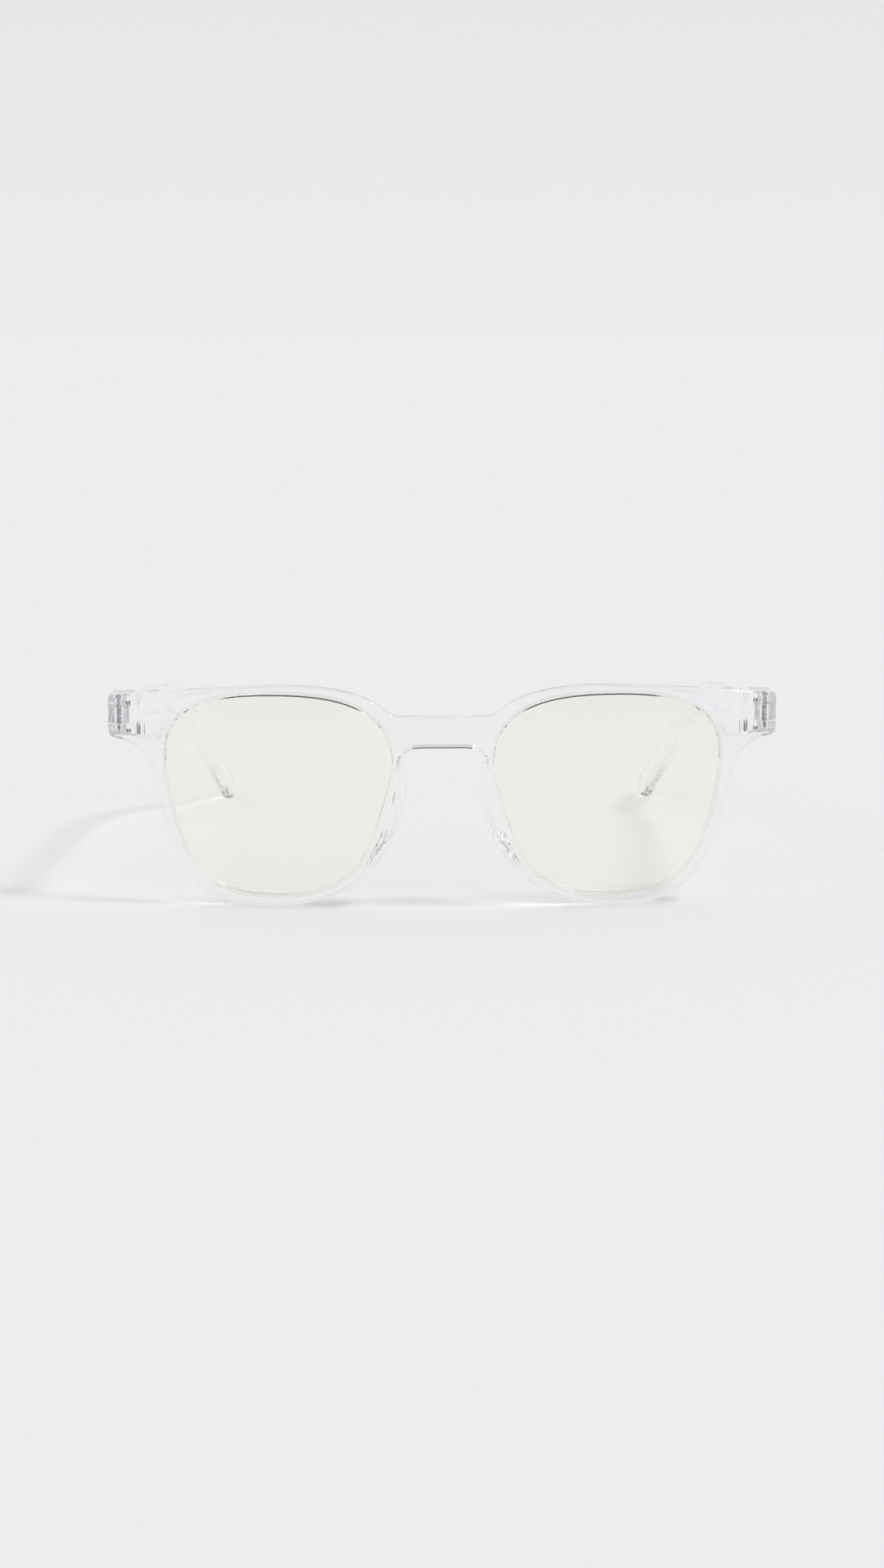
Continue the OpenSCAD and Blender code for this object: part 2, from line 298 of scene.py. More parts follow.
def prism(name, plan, low, high, bevel=0.0):
    """An upright solid over a plan of [u, v] points, from one height to another, with its edges bevelled."""
    n = len(plan)
    points = [to_row(u, v, z) for z in (low, high) for u, v in plan]
    faces = [tuple(range(n))[::-1], tuple(range(n, 2 * n))]
    faces += [(i, (i + 1) % n, n + (i + 1) % n, n + i) for i in range(n)]
    obj = mesh_object(name, points, faces)
    if bevel:
        bm = bmesh.new()
        bm.from_mesh(obj.data)
        sharp = [e for e in bm.edges if len(e.link_faces) == 2 and e.calc_face_angle() > 0.6]
        bmesh.ops.bevel(
            bm, geom=sharp, offset=bevel * MM, segments=3, profile=0.5, affect="EDGES", clamp_overlap=True
        )
        bm.to_mesh(obj.data)
        bm.free()
    return obj


def arc(u, v, r, start, stop, count=10):
    angles = [math.radians(start + (stop - start) * i / count) for i in range(count + 1)]
    return [(u + r * math.cos(a), v + r * math.sin(a)) for a in angles]


def drum(name, u, v, low, high, r, sides=48):
    return prism(name, arc(u, v, r, 0, 360, sides)[:-1], low, high)


# ---------------------------------------------------------------- front
PAD_EDGE = [(9.2, 34), (8.2, 31.5), (7.1, 29), (7.4, 25.6), (7.9, 20.5), (10.4, 12.5), (16.5, 6)]
PAD_SIDE = bezier(PAD_EDGE, False)
PAD_TOP, PAD_FOOT, PAD_DEEP = 33.2, 6.0, 8.3
STEP_EDGE = [(59.8, 34), (58.9, 38), (58.2, 42.9), (54.6, 44.6), (51.4, 46), (46.5, 45.9), (40, 47.6)]
STEP_LINE = bezier(STEP_EDGE, False)[::4]
STEP_WIDE = 0.9
EDGE_R, BACK_R, CREASE_R, LIP_R = 0.75, 0.8, 0.3, 0.15
GUARD = 0.1
ENDPIECE, KEYHOLE, BRIDGE, BRIDGE_Z = (66, 69), (9.3, 10.3), (9.3, 12), 38
STEP_FROM, STEP_RISE = (38, 30), (33, 37)


def pad_edge(z):
    """How near the middle the nose pad reaches at a height."""
    for a, b in zip(PAD_SIDE, PAD_SIDE[1:]):
        if b.y <= z <= a.y:
            return a.x + (b.x - a.x) * (a.y - z) / (a.y - b.y)
    return PAD_SIDE[0].x if z > PAD_SIDE[0].y else PAD_SIDE[-1].x


def back_depth(u, z):
    """Thickness of the front: thinner round the lenses, up to a soft step before the endpieces."""
    p = Vector((abs(u), z))
    if p.x < STEP_FROM[0] or z < STEP_FROM[1]:
        return THIN
    k = min(range(len(STEP_LINE)), key=lambda i: (STEP_LINE[i] - p).length_squared)
    a, b = STEP_LINE[max(k - 1, 0)], STEP_LINE[min(k + 1, len(STEP_LINE) - 1)]
    along = (b - a).normalized()
    outside = (p - STEP_LINE[k]).dot(Vector((along.y, -along.x)))
    step = smooth(outside, -STEP_WIDE, STEP_WIDE)
    return THIN + (THICK - THIN) * step * smooth(z, *STEP_RISE)


def step_points():
    """Points along the soft step, so that the back follows it smoothly."""
    points = []
    for offset in (-0.9, -0.65, -0.4, -0.2, 0, 0.2, 0.4, 0.65, 0.9):
        for i in range(1, len(STEP_LINE) - 1):
            along = (STEP_LINE[i + 1] - STEP_LINE[i - 1]).normalized()
            p = STEP_LINE[i] + offset * Vector((along.y, -along.x))
            points += [p, Vector((-p.x, p.y))]
    return points


def round_in(r, count):
    """A rounded edge from the face inwards to the wall: [inset, depth]."""
    turns = [math.radians(90 * i / count) for i in range(count + 1)]
    return [(r * (1 - math.sin(a)), r * (1 - math.cos(a))) for a in turns]


def outer_profile(p, way, room):
    """Section of the front's outer wall at one point: [inset, depth] from the face to the back."""
    side = abs(p.x)
    end = smooth(side, *ENDPIECE)
    keyhole = (1 - smooth(side, *KEYHOLE)) * (1 if p.y < BRIDGE_Z else 0)
    bridge = (1 - smooth(side, *BRIDGE)) * (1 if p.y >= BRIDGE_Z else 0)
    back = back_depth(p.x, p.y)
    front_r = min(EDGE_R - 0.45 * end - 0.3 * keyhole, 0.4 * room)
    back_r = min(BACK_R - 0.45 * end - 0.5 * bridge - 0.1 * keyhole, 0.4 * room)
    plain = [(front_r + GUARD, 0.0)] + round_in(front_r, 6)
    low, high = front_r, back - back_r
    plain += [(0.0, low + (high - low) * i / 8) for i in range(1, 8)]
    for i in range(7):
        turn = math.radians(15 * i)
        inset = 1 - math.cos(turn) + keyhole * (i / 6 - 1 + math.cos(turn))
        left = 1 - math.sin(turn) - keyhole * (i / 6 - math.sin(turn))
        plain.append((back_r * inset, back - back_r * left))
    plain.append((back_r + GUARD, back))
    nasal = 3 < side < 19 and way.x * p.x < 0
    share = smooth(p.y, PAD_FOOT, PAD_FOOT + 5) * (1 - smooth(p.y, PAD_TOP - 4.5, PAD_TOP)) if nasal else 0
    if not share:
        return plain
    reach = max(0.0, (side - pad_edge(p.y)) * abs(way.x))
    deep = back + (PAD_DEEP - back) * smooth(p.y, PAD_FOOT, 24)
    top = 0.6 * deep
    pad = [(CREASE_R + GUARD, 0.0)] + round_in(CREASE_R, 6)
    swell = [
        (0, CREASE_R), (-0.3 * reach, 2 * CREASE_R), (-reach, top * 0.5),
        (-reach, top), (-reach, 0.75 * deep + 0.25 * top), (-0.65 * reach, deep),
        (-0.3 * reach, deep), (0.1, deep), (CREASE_R, back + 0.4),
        (CREASE_R, back),
    ]
    count = len(plain) - len(pad) - 1
    pad += [(q.x, q.y) for q in spread(bezier(swell, False), count + 1)[1:]]
    pad.append((CREASE_R + GUARD, back))
    return [(a[0] + (b[0] - a[0]) * share, a[1] + (b[1] - a[1]) * share) for a, b in zip(plain, pad)]


def opening_profile(p):
    """Section of the wall round a lens, from the face, through the groove, to the back.

    Each row is [inset, depth under the lens's face or None, depth under the front's face].
    """
    back = back_depth(p.x, p.y)
    lip = round_in(LIP_R, 5)
    near, far = BEVEL - GAP, LENS_T - BEVEL + GAP
    rows = [(LIP_R + GUARD, None, 0.0)]
    rows += [(inset, None, depth) for inset, depth in lip]
    rows += [(0.0, -GAP, 0), (BEVEL, near, 0), (GROOVE, near, 0)]
    rows += [(GROOVE, far, 0), (BEVEL, far, 0), (0.0, LENS_T + GAP, 0)]
    rows += [(inset, None, back - depth) for inset, depth in lip[::-1]]
    rows.append((LIP_R + GUARD, None, back))
    return rows


def lens_side_line(side):
    """The opening's line on one side, with its directions pointing into the opening."""
    line = opening_line()
    if side < 0:
        line = [Vector((-p.x, p.y)) for p in reversed(line)]
    ways = out_ways(line)
    if (Vector((side * LENS_MID[0], LENS_MID[1])) - line[0]).dot(ways[0]) < 0:
        line = line[::-1]
        ways = out_ways(line)
    return line, ways


def build_front(material):
    points, faces = [], []

    def ring(line, ways, profiles, k, lens_side=0):
        start = len(points)
        for p, way, profile in zip(line, ways, profiles):
            row = profile[k]
            q = p - way * row[0]
            if lens_side and row[1] is not None:
                v = lens_v(q.x, q.y, row[1])
            else:
                v = wrap_v(q.x, row[-1])
            points.append(to_row(q.x, v, q.y))
        return list(range(start, len(points)))

    outer = front_line()
    ways = out_ways(outer)
    right = opening_line()
    profiles = []
    for p, w in zip(outer, ways):
        room = min((Vector((abs(p.x), p.y)) - q).length for q in right)
        profiles.append(outer_profile(p, w, room))
    outer_rings = [ring(outer, ways, profiles, k) for k in range(len(profiles[0]))]
    faces += strips(outer_rings)
    hole_rings = []
    holes = []
    for side in (1, -1):
        line, way = lens_side_line(side)
        prof = [opening_profile(p) for p in line]
        rings = [ring(line, way, prof, k, 1) for k in range(len(prof[0]))]
        faces += strips(rings)
        hole_rings.append(rings)
        holes.append((line, way, prof))

    def flat(line, way, prof, last):
        return [p - w * r[last][0] for p, w, r in zip(line, way, prof)]

    for last in (0, -1):
        border = flat(outer, ways, profiles, last)
        inner = [flat(*hole, last) for hole in holes]
        flat_points, triangles, rings = fill(border, inner, 1.5, step_points() if last else ())
        numbers = outer_rings[last] + hole_rings[0][last] + hole_rings[1][last]
        for p in flat_points[rings:]:
            depth = 0 if last == 0 else back_depth(p.x, p.y)
            numbers.append(len(points))
            points.append(to_row(p.x, wrap_v(p.x, depth), p.y))
        faces += [tuple(numbers[i] for i in t) for t in triangles]
    obj = mesh_object("front_frame_moulding", points, faces, material)
    add_forks(obj)
    finish_shading(obj, CREASE_ANGLE)
    return obj


BLOCK_IN, BLOCK_BACK, BLOCK_FRONT, BLOCK_FILLET = 64.6, 13.35, 10.2, 1.6
BLOCK_EDGE, PRONG_EDGE, TONGUE_EDGE = 0.25, 0.12, 0.1
PRONG_ROOT, FORK_GAP, HAIR = 4.7, 0.1, 0.03
SEAT_R, SEAT_DEEP, BORE_FLOOR, PAST = 1.09, 0.9, 0.56, 1


def add_forks(front):
    """The block behind each end of the front, its two prongs, and the hole and seat for the screw."""
    u, v = HINGE_AT
    fillet_at = BLOCK_IN - BLOCK_FILLET
    block = [(HALF_W, 11.5), (HALF_W, BLOCK_BACK), (BLOCK_IN, BLOCK_BACK)]
    block += arc(fillet_at, BLOCK_BACK, BLOCK_FILLET, 0, -90)
    block += [(fillet_at, BLOCK_FRONT), (BLOCK_IN, BLOCK_FRONT)]
    prong = [(u + HINGE_R - HAIR, v - PRONG_ROOT), (u + HINGE_R - HAIR, v + HINGE_R)]
    prong += arc(u, v, HINGE_R, 90, 180, 16) + [(u - HINGE_R, v - PRONG_ROOT)]
    blocks, cuts = [], []
    for side in (1, -1):
        here = [[(side * a, b) for a, b in shape[::side]] for shape in (block, prong)]
        blocks.append(prism("block", here[0], HINGE_LOW, HINGE_TOP, BLOCK_EDGE))
        blocks.append(prism("prong", here[1], HINGE_LOW + HAIR, TONGUE[0] - FORK_GAP, PRONG_EDGE))
        blocks.append(prism("prong", here[1], TONGUE[1] + FORK_GAP, HINGE_TOP - HAIR, PRONG_EDGE))
        cuts.append(drum("bore", side * u, v, HINGE_LOW + BORE_FLOOR, HINGE_TOP + PAST, BORE_R))
        cuts.append(drum("seat", side * u, v, HINGE_TOP - SEAT_DEEP, HINGE_TOP + PAST, SEAT_R))
    merge(front, blocks, "UNION")
    merge(front, cuts, "DIFFERENCE")


# ---------------------------------------------------------------- lenses
def build_lens(side, material):
    line, ways = lens_side_line(side)
    points, faces, rings = [], [], []
    edge, far = GROOVE - GAP, LENS_T - BEVEL
    for out, depth in ((0, 0), (BEVEL, BEVEL), (edge, BEVEL), (edge, far), (BEVEL, far), (0, LENS_T)):
        start = len(points)
        for p, w in zip(line, ways):
            q = p - w * out
            points.append(to_row(q.x, lens_v(q.x, q.y, depth), q.y))
        rings.append(list(range(start, len(points))))
    faces += strips(rings)
    for k, depth in ((0, 0), (-1, LENS_T)):
        flat_points, triangles, count = fill(line, [], 2.0)
        numbers = list(rings[k])
        for p in flat_points[count:]:
            numbers.append(len(points))
            points.append(to_row(p.x, lens_v(p.x, p.y, depth), p.y))
        faces += [tuple(numbers[i] for i in t) for t in triangles]
    name = "lens_left_glazing" if side < 0 else "lens_right_glazing"
    obj = mesh_object(name, points, faces, material)
    finish_shading(obj, CREASE_ANGLE)
    return obj


# ---------------------------------------------------------------- temples
TEMPLE_L, ARM_L, BEND, BEND_R = 145.0, 103.0, math.radians(39), 34.0
ARM_H, DROP_H, ARM_T, ROOT_T, TIP_INSET = 6.8, 7.2, 3.2, 5.0, 14.4
PIVOT_Z = (TONGUE[0] + TONGUE[1]) / 2
SHOULDER, SHOULDER_R, SWING = 2.6, 0.3, 10
TONGUE_ROOT = (2.1, 4.6)
TIP_R = DROP_H / 2
DROP_L = TEMPLE_L - ARM_L - TIP_R
REACH = Vector((ARM_L + DROP_L * math.cos(BEND), DROP_L * math.sin(BEND)))
ARM_SLOPE = math.asin((PIVOT_Z - TIP_R) / REACH.length) - math.atan2(REACH.y, REACH.x)
BEND_CUT = BEND_R * math.tan(BEND / 2)
BEND_FROM = ARM_L - BEND_CUT
BEND_TO = BEND_FROM + BEND_R * BEND
TIP_AT = BEND_TO + DROP_L - BEND_CUT
SLIM_FROM = 26.0
INSET_FROM = BEND_FROM - 14
INSET_TO = INSET_FROM + 18
INSET_RATE = TIP_INSET / (TIP_AT - (INSET_FROM + INSET_TO) / 2)


def heading(a):
    return Vector((math.cos(a), -math.sin(a)))


def square_to(a):
    return Vector((math.sin(a), math.cos(a)))


def temple_slope(t):
    return ARM_SLOPE + BEND * min(1, max(0, (t - BEND_FROM) / (BEND_TO - BEND_FROM)))


def temple_middle(t):
    if t < BEND_FROM:
        return t * heading(ARM_SLOPE)
    if t < BEND_TO:
        return BEND_FROM * heading(ARM_SLOPE) + BEND_R * (square_to(temple_slope(t)) - square_to(ARM_SLOPE))
    tip = ARM_L * heading(ARM_SLOPE) + DROP_L * heading(ARM_SLOPE + BEND)
    return tip + (t - TIP_AT) * heading(ARM_SLOPE + BEND)


def temple_inset(t):
    if t < INSET_FROM:
        return 0.0
    if t < INSET_TO:
        return INSET_RATE * (t - INSET_FROM) ** 2 / 2 / (INSET_TO - INSET_FROM)
    return INSET_RATE * (t - (INSET_FROM + INSET_TO) / 2)


def rounded_box(inner, outer, half, r, count=8):
    """Section of a temple, going round: [outwards, up]."""
    r = max(0.02, min(r, half * 0.98, (outer - inner) / 2 * 0.98))
    left, right, up = inner + r, outer - r, half - r
    corners = ((right, up, 0), (left, up, 90), (left, -up, 180), (right, -up, 270))
    return [q for a, b, start in corners for q in arc(a, b, r, start, start + 90, count)]


def stretch(start, stop, count, first=1):
    """Places along the temple from start to stop, in equal steps."""
    return [start + (stop - start) * i / count for i in range(first, count + 1)]


def temple_stations():
    """Where the temple's sections stand, in millimetres along it from the screw."""
    places = [SHOULDER, SHOULDER + SHOULDER_R / 2.5]
    places += stretch(SHOULDER + SHOULDER_R, SLIM_FROM, 24, 0)
    places += stretch(SLIM_FROM, INSET_FROM, 36)
    places += stretch(INSET_FROM, BEND_FROM, 16)
    places += stretch(BEND_FROM, BEND_TO, 42)
    places += stretch(BEND_TO, TIP_AT, 24)
    return places + [TIP_AT + TIP_R * math.sin(math.radians(a)) for a in range(4, 85, 4)]


def temple_section(t):
    """A temple's section at one place: [outwards, up] from its middle line."""
    half_root = (HINGE_TOP - HINGE_LOW) / 2
    slim = smooth(t, SHOULDER, SLIM_FROM)
    half = half_root + (ARM_H / 2 - half_root) * slim
    half += (DROP_H - ARM_H) / 2 * smooth(t, SLIM_FROM, TIP_AT)
    inner = -ROOT_T / 2 + (ROOT_T - ARM_T) * smooth(t, SHOULDER + 2, SLIM_FROM)
    outer = ROOT_T / 2
    r = 0.35 + 0.65 * smooth(t, SHOULDER, 12) + 0.25 * smooth(t, BEND_FROM, TIP_AT)
    pinch = 0
    if t > TIP_AT:
        shrink = math.sqrt(max(0.0, 1 - ((t - TIP_AT) / TIP_R) ** 2))
        half *= shrink
        pinch = 1.15 * (1 - shrink) ** 1.2
    elif t < SHOULDER + SHOULDER_R:
        pinch = 0.12 if t == SHOULDER else 0.03
        half -= pinch
    lift = ((HINGE_TOP + HINGE_LOW) / 2 - PIVOT_Z) * (1 - slim)
    return [(a, b + lift) for a, b in rounded_box(inner + pinch, outer - pinch, half, r)]


def build_temple(side, material):
    points, rings = [], []
    u, v = HINGE_AT
    for t in temple_stations():
        middle, up = temple_middle(t), square_to(temple_slope(t))
        if t < SHOULDER + SWING:
            share = smooth(t, SHOULDER, SHOULDER + SWING)
            middle = Vector((t, 0)).lerp(middle, share)
            up = Vector((0, 1)).lerp(up, share).normalized()
        start = len(points)
        for a, b in temple_section(t):
            out = u + a - temple_inset(t)
            points.append(to_row(side * out, v + middle.x + b * up.x, PIVOT_Z + middle.y + b * up.y))
        rings.append(list(range(start, len(points))))
    faces = strips(rings)
    faces += [tuple(rings[0][::-1]), tuple(rings[-1])]
    name = "temple_right_moulding" if side > 0 else "temple_left_moulding"
    obj = mesh_object(name, points, faces, material)
    plan = [(u + TONGUE_ROOT[0], v + TONGUE_ROOT[1]), (u + HINGE_R, v + SHOULDER)]
    plan += arc(u, v, HINGE_R, 0, -180, 24)
    plan += [(u - HINGE_R, v + SHOULDER), (u - TONGUE_ROOT[0], v + TONGUE_ROOT[1])]
    plan = [(side * a, b) for a, b in plan[::-side]]
    merge(obj, [prism("tongue", plan, TONGUE[0], TONGUE[1], TONGUE_EDGE)], "UNION")
    merge(obj, [drum("bore", side * u, v, TONGUE[0] - PAST, TONGUE[1] + PAST, BORE_R)], "DIFFERENCE")
    finish_shading(obj, CREASE_ANGLE)
    return obj


# ---------------------------------------------------------------- hinge screws
def screw_tree():
    """Geometry Nodes for a slotted screw: a head, a core and a thread wound round it, standing on its end."""
    tree = bpy.data.node_groups.new("hinge_screw", "GeometryNodeTree")
    face = tree.interface
    face.new_socket("Geometry", in_out="OUTPUT", socket_type="NodeSocketGeometry")
    for name in ("Thread radius", "Pitch", "Turns", "Thread from", "Length", "Head radius", "Head height"):
        face.new_socket(name, in_out="INPUT", socket_type="NodeSocketFloat")
    face.new_socket("Steel", in_out="INPUT", socket_type="NodeSocketMaterial")
    nodes, links = tree.nodes, tree.links
    given, out = nodes.new("NodeGroupInput"), nodes.new("NodeGroupOutput")

    def calc(operation, a, b):
        n = nodes.new("ShaderNodeMath")
        n.operation = operation
        for socket, value in zip(n.inputs, (a, b)):
            if isinstance(value, (int, float)):
                socket.default_value = value
            else:
                links.new(value, socket)
        return n.outputs[0]

    def lift(geometry, height):
        at, move = nodes.new("ShaderNodeCombineXYZ"), nodes.new("GeometryNodeTransform")
        links.new(height, at.inputs["Z"])
        links.new(geometry, move.inputs["Geometry"])
        links.new(at.outputs[0], move.inputs["Translation"])
        return move.outputs[0]

    radius, pitch, turns = (given.outputs[n] for n in ("Thread radius", "Pitch", "Turns"))
    height = calc("MULTIPLY", pitch, turns)
    spiral = nodes.new("GeometryNodeCurveSpiral")
    spiral.inputs["Resolution"].default_value = 32
    core_r = calc("SUBTRACT", radius, calc("MULTIPLY", pitch, 0.55))
    ridge_at = calc("SUBTRACT", radius, calc("MULTIPLY", pitch, 0.5))
    links.new(turns, spiral.inputs["Rotations"])
    links.new(ridge_at, spiral.inputs["Start Radius"])
    links.new(ridge_at, spiral.inputs["End Radius"])
    links.new(height, spiral.inputs["Height"])
    ridge = nodes.new("GeometryNodeCurvePrimitiveCircle")
    ridge.inputs["Resolution"].default_value = 4
    links.new(calc("MULTIPLY", pitch, 0.5), ridge.inputs["Radius"])
    wound = nodes.new("GeometryNodeCurveToMesh")
    wound.inputs["Fill Caps"].default_value = True
    links.new(spiral.outputs[0], wound.inputs["Curve"])
    links.new(ridge.outputs[0], wound.inputs["Profile Curve"])
    join = nodes.new("GeometryNodeJoinGeometry")

    def turned(radius_in, depth_in, sides):
        n = nodes.new("GeometryNodeMeshCylinder")
        n.inputs["Vertices"].default_value = sides
        links.new(radius_in, n.inputs["Radius"])
        links.new(depth_in, n.inputs["Depth"])
        return n.outputs["Mesh"]

    length, head_h = given.outputs["Length"], given.outputs["Head height"]
    core = lift(turned(core_r, length, 32), calc("MULTIPLY", length, 0.5))
    neck_l = calc("SUBTRACT", calc("SUBTRACT", length, height), given.outputs["Thread from"])
    neck_l = calc("SUBTRACT", neck_l, head_h)
    neck_at = calc("SUBTRACT", calc("SUBTRACT", length, head_h), calc("MULTIPLY", neck_l, 0.5))
    neck = lift(turned(radius, neck_l, 40), neck_at)
    head_at = calc("SUBTRACT", length, calc("MULTIPLY", head_h, 0.5))
    head = lift(turned(given.outputs["Head radius"], head_h, 48), head_at)
    slot = nodes.new("GeometryNodeMeshCube")
    size = nodes.new("ShaderNodeCombineXYZ")
    links.new(calc("MULTIPLY", given.outputs["Head radius"], 3), size.inputs["X"])
    links.new(calc("MULTIPLY", head_h, 0.42), size.inputs["Y"])
    links.new(calc("MULTIPLY", head_h, 0.9), size.inputs["Z"])
    links.new(size.outputs[0], slot.inputs["Size"])
    cut = nodes.new("GeometryNodeMeshBoolean")
    cut.operation = "DIFFERENCE"
    links.new(head, cut.inputs["Mesh 1"])
    links.new(lift(slot.outputs["Mesh"], length), cut.inputs["Mesh 2"])
    for part in (core, neck, cut.outputs[0], lift(wound.outputs[0], given.outputs["Thread from"])):
        links.new(part, join.inputs[0])
    real, steel = nodes.new("GeometryNodeRealizeInstances"), nodes.new("GeometryNodeSetMaterial")
    links.new(join.outputs[0], real.inputs[0])
    links.new(real.outputs[0], steel.inputs["Geometry"])
    links.new(given.outputs["Steel"], steel.inputs["Material"])
    links.new(steel.outputs[0], out.inputs[0])
    return tree


def build_screw(side, tree, material):
    low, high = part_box("hinge_screw_right")
    length = high[2] - low[2]
    sizes = {
        "Thread radius": 0.64 * MM, "Pitch": 0.35 * MM, "Turns": 14.0, "Thread from": 0.18 * MM,
        "Length": length, "Head radius": 1.05 * MM, "Head height": 0.8 * MM, "Steel": material,
    }
    obj = bpy.data.objects.new("screw_maker", bpy.data.meshes.new("screw_maker"))
    bpy.context.scene.collection.objects.link(obj)
    m = obj.modifiers.new("screw", "NODES")
    m.node_group = tree
    for item in tree.interface.items_tree:
        if item.in_out == "INPUT":
            m[item.identifier] = sizes[item.name]
    graph = bpy.context.evaluated_depsgraph_get()
    mesh = bpy.data.meshes.new_from_object(obj.evaluated_get(graph))
    obj.modifiers.remove(m)
    bpy.data.objects.remove(obj)
    u, v = HINGE_AT
    foot = to_row(side * u, v, 0)
    foot.z = low[2]
    for p in mesh.vertices:
        p.co = p.co + foot
    name = "hinge_screw_turned_right" if side > 0 else "hinge_screw_turned_left"
    made = bpy.data.objects.new(name, mesh)
    bpy.context.scene.collection.objects.link(made)
    finish_shading(made, SCREW_CREASE)
    return made


# ---------------------------------------------------------------- finishes
def material(name):
    m = bpy.data.materials.new(name)
    m.use_nodes = True
    m.node_tree.nodes.clear()
    return m, m.node_tree.nodes, m.node_tree.links


def noise(nodes, links, scale, detail=2.0):
    place = nodes.new("ShaderNodeTexCoord")
    n = nodes.new("ShaderNodeTexNoise")
    n.inputs["Scale"].default_value = scale
    n.inputs["Detail"].default_value = detail
    links.new(place.outputs["Object"], n.inputs["Vector"])
    return n.outputs["Fac"]


def ramp(nodes, links, fac, stops):
    n = nodes.new("ShaderNodeValToRGB")
    while len(n.color_ramp.elements) < len(stops):
        n.color_ramp.elements.new(0.5)
    for e, (at, colour) in zip(n.color_ramp.elements, stops):
        e.position, e.color = at, (*colour, 1)
    links.new(fac, n.inputs["Fac"])
    return n.outputs["Color"]


def level(nodes, links, fac, low, high):
    n = nodes.new("ShaderNodeMapRange")
    n.inputs["From Min"].default_value, n.inputs["From Max"].default_value = 0.3, 0.7
    n.inputs["To Min"].default_value, n.inputs["To Max"].default_value = low, high
    links.new(fac, n.inputs["Value"])
    return n.outputs["Result"]


def see_through(name, ior, stops, shade, wave, wave_scale, straight):
    """Moulded clear plastic, whose tint, gloss and surface vary slightly.

    Lamps shine through it in the shade's colours, and a share of the light that other
    surfaces scatter goes straight on too.
    """
    m, nodes, links = material(name)
    gloss = nodes.new("ShaderNodeBsdfPrincipled")
    gloss.inputs["Transmission Weight"].default_value = 1.0
    gloss.inputs["IOR"].default_value = ior
    links.new(ramp(nodes, links, noise(nodes, links, 45), stops), gloss.inputs["Base Color"])
    links.new(level(nodes, links, noise(nodes, links, 160), 0.0, 0.012), gloss.inputs["Roughness"])
    bump = nodes.new("ShaderNodeBump")
    bump.inputs["Strength"].default_value = wave
    bump.inputs["Distance"].default_value = 0.0002
    links.new(noise(nodes, links, wave_scale, 1.0), bump.inputs["Height"])
    links.new(bump.outputs[0], gloss.inputs["Normal"])
    clear = nodes.new("ShaderNodeBsdfTransparent")
    rim = nodes.new("ShaderNodeLayerWeight")
    rim.inputs["Blend"].default_value = 0.35
    links.new(ramp(nodes, links, rim.outputs["Facing"], shade), clear.inputs["Color"])
    path, either = nodes.new("ShaderNodeLightPath"), nodes.new("ShaderNodeMath")
    mix, out = nodes.new("ShaderNodeMixShader"), nodes.new("ShaderNodeOutputMaterial")
    either.operation = "MULTIPLY_ADD"
    links.new(path.outputs["Is Diffuse Ray"], either.inputs[0])
    either.inputs[1].default_value = straight
    links.new(path.outputs["Is Shadow Ray"], either.inputs[2])
    links.new(either.outputs[0], mix.inputs["Fac"])
    links.new(gloss.outputs[0], mix.inputs[1])
    links.new(clear.outputs[0], mix.inputs[2])
    links.new(mix.outputs[0], out.inputs["Surface"])
    return m


def turned_steel():
    m, nodes, links = material("turned_steel")
    metal = nodes.new("ShaderNodeBsdfPrincipled")
    metal.inputs["Metallic"].default_value = 1.0
    grain = noise(nodes, links, 2600, 3.0)
    greys = ramp(nodes, links, grain, [(0.3, (0.42, 0.42, 0.43)), (0.7, (0.62, 0.62, 0.63))])
    links.new(greys, metal.inputs["Base Color"])
    links.new(level(nodes, links, grain, 0.22, 0.4), metal.inputs["Roughness"])
    out = nodes.new("ShaderNodeOutputMaterial")
    links.new(metal.outputs[0], out.inputs["Surface"])
    return m


def paper(name, stops):
    m, nodes, links = material(name)
    matt = nodes.new("ShaderNodeBsdfPrincipled")
    matt.inputs["Roughness"].default_value = 0.9
    matt.inputs["Specular IOR Level"].default_value = 0.1
    links.new(ramp(nodes, links, noise(nodes, links, 900), stops), matt.inputs["Base Color"])
    out = nodes.new("ShaderNodeOutputMaterial")
    links.new(matt.outputs[0], out.inputs["Surface"])
    return m


# ---------------------------------------------------------------- camera, light and sweep
CAMERA_AT = (-0.0065, FACE_Y - 0.6, 0.122)
LOOK_DOWN, LOOK_ASIDE, CAMERA_ROLL = 9.03, -0.6, -0.18


def build_camera():
    data = bpy.data.cameras.new("camera")
    data.sensor_width, data.lens = 36, 66.4
    data.clip_start, data.clip_end = 0.01, 50
    cam = bpy.data.objects.new("camera", data)
    bpy.context.scene.collection.objects.link(cam)
    cam.location = CAMERA_AT
    aim = Euler((math.radians(90 - LOOK_DOWN), 0, math.radians(LOOK_ASIDE)))
    roll = Euler((0, 0, math.radians(CAMERA_ROLL)))
    cam.rotation_euler = (aim.to_matrix() @ roll.to_matrix()).to_euler()
    bpy.context.scene.camera = cam


def build_floor():
    mesh = bpy.data.meshes.new("paper_floor")
    corners = [(-8, -3), (8, -3), (8, 30), (-8, 30)]
    mesh.from_pydata([(x, y, 0) for x, y in corners], [], [(0, 1, 2, 3)])
    mesh.materials.append(paper("pale_paper", [(0.3, (0.89, 0.89, 0.9)), (0.7, (0.91, 0.91, 0.92))]))
    floor = bpy.data.objects.new("paper_floor", mesh)
    bpy.context.scene.collection.objects.link(floor)


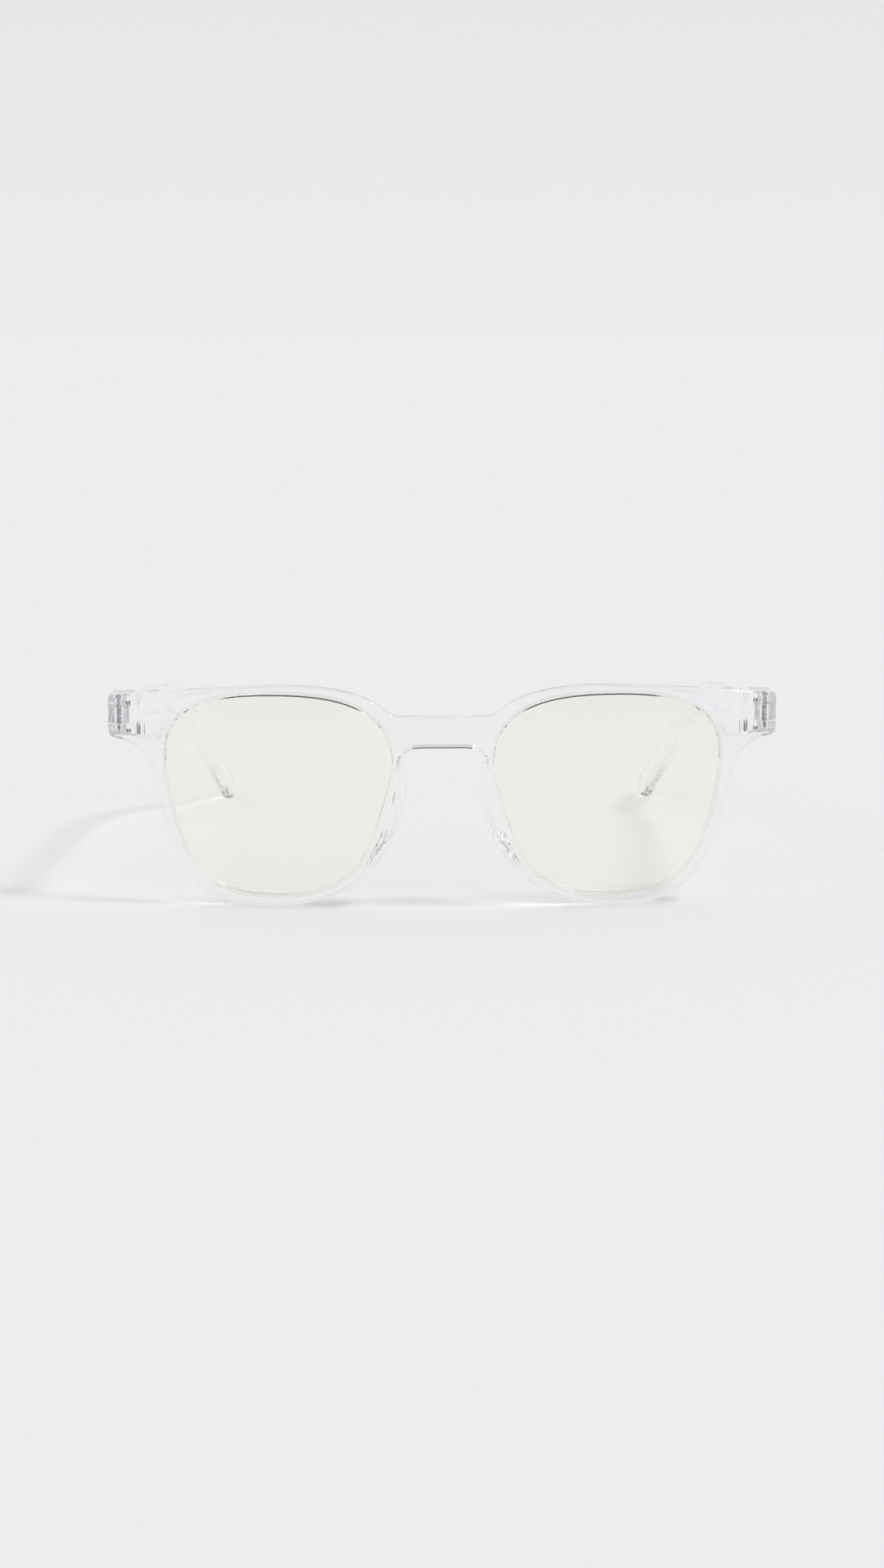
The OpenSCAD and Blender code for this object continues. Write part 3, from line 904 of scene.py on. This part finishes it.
# Greys of the room from straight down, 0, to straight up, 1
ROOM = [
    (0.5, (0.84, 0.84, 0.85)), (0.58, (0.78, 0.78, 0.79)),
    (0.93, (0.8, 0.8, 0.81)), (0.955, (0.02, 0.02, 0.025)),
]
DARK_SIDE = [
    (0.495, (0.83, 0.83, 0.84)), (0.54, (0.5, 0.5, 0.51)), (0.7, (0.5, 0.5, 0.51)), (0.8, (0.8, 0.8, 0.81)),
]
KEY, KEY_SPREAD, KEY_AIM = 1.36, 11, (-0.61, 0.14, -1)
BOUNCES = 40


def build_light():
    """A pale room, duller in front and dark overhead and at both sides, and a soft lamp high on the right."""
    world = bpy.data.worlds.new("studio")
    bpy.context.scene.world = world
    world.use_nodes = True
    nodes, links = world.node_tree.nodes, world.node_tree.links
    way, parts = nodes.new("ShaderNodeTexCoord"), nodes.new("ShaderNodeSeparateXYZ")
    links.new(way.outputs["Generated"], parts.inputs[0])
    rise, share, gap = (nodes.new("ShaderNodeMapRange") for _ in range(3))
    mix, away = nodes.new("ShaderNodeMix"), nodes.new("ShaderNodeMath")
    rise.inputs["From Min"].default_value, rise.inputs["From Max"].default_value = -1, 1
    links.new(parts.outputs["Z"], rise.inputs["Value"])
    height = rise.outputs["Result"]
    share.interpolation_type = "SMOOTHSTEP"
    share.inputs["From Min"].default_value, share.inputs["From Max"].default_value = -0.7, -0.3
    links.new(parts.outputs["Y"], share.inputs["Value"])
    mix.data_type = "RGBA"
    links.new(share.outputs["Result"], mix.inputs["Factor"])
    links.new(ramp(nodes, links, height, DARK_SIDE), mix.inputs[6])
    links.new(ramp(nodes, links, height, ROOM), mix.inputs[7])
    away.operation, gap.interpolation_type = "ABSOLUTE", "SMOOTHSTEP"
    links.new(parts.outputs["X"], away.inputs[0])
    links.new(away.outputs[0], gap.inputs["Value"])
    gap.inputs["From Min"].default_value, gap.inputs["From Max"].default_value = 0.86, 0.93
    gap.inputs["To Min"].default_value, gap.inputs["To Max"].default_value = 1.0, 0.12
    links.new(gap.outputs["Result"], nodes["Background"].inputs["Strength"])
    links.new(mix.outputs[2], nodes["Background"].inputs["Color"])
    data = bpy.data.lights.new("key", "SUN")
    data.energy, data.angle = KEY, math.radians(KEY_SPREAD)
    lamp = bpy.data.objects.new("key", data)
    bpy.context.scene.collection.objects.link(lamp)
    lamp.rotation_euler = Vector(KEY_AIM).to_track_quat("-Z", "Y").to_euler()
    scene = bpy.context.scene
    scene.view_settings.view_transform = "Standard"
    scene.cycles.max_bounces = scene.cycles.transmission_bounces = BOUNCES
    scene.cycles.glossy_bounces = scene.cycles.transparent_max_bounces = BOUNCES


build_camera()
build_floor()
build_light()

CLEAR = see_through(
    "clear_plastic", ior=1.49, straight=0.7, wave=0.01, wave_scale=40,
    stops=[(0.3, (0.988, 0.99, 0.997)), (0.7, (0.996, 0.996, 0.999))],
    shade=[(0.0, (0.88, 0.88, 0.89)), (0.6, (0.8, 0.8, 0.81)), (0.9, (0.45, 0.45, 0.47))],
)
TINTED = see_through(
    "tinted_lens", ior=1.5, straight=1.0, wave=0.01, wave_scale=40,
    stops=[(0.3, (1.0, 0.993, 0.92)), (0.7, (1.0, 1.0, 0.94))],
    shade=[(0.0, (0.97, 0.97, 0.94)), (0.75, (0.93, 0.93, 0.9)), (1.0, (0.6, 0.6, 0.58))],
)
STEEL = turned_steel()

pieces = [
    (build_front(CLEAR), "front", "front_frame", "clear_plastic"),
    (build_lens(-1, TINTED), "front", "lens_left", "tinted_lens"),
    (build_lens(1, TINTED), "front", "lens_right", "tinted_lens"),
    (build_temple(-1, CLEAR), "left_temple", "temple_left", "clear_plastic"),
    (build_temple(1, CLEAR), "right_temple", "temple_right", "clear_plastic"),
]
thread = screw_tree()
for side, node in ((-1, "hinge_screw_left"), (1, "hinge_screw_right")):
    pieces.append((build_screw(side, thread, STEEL), "front", node, "screw_steel"))
for obj, body, node, finish in pieces:
    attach(obj, body)
    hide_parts(node)
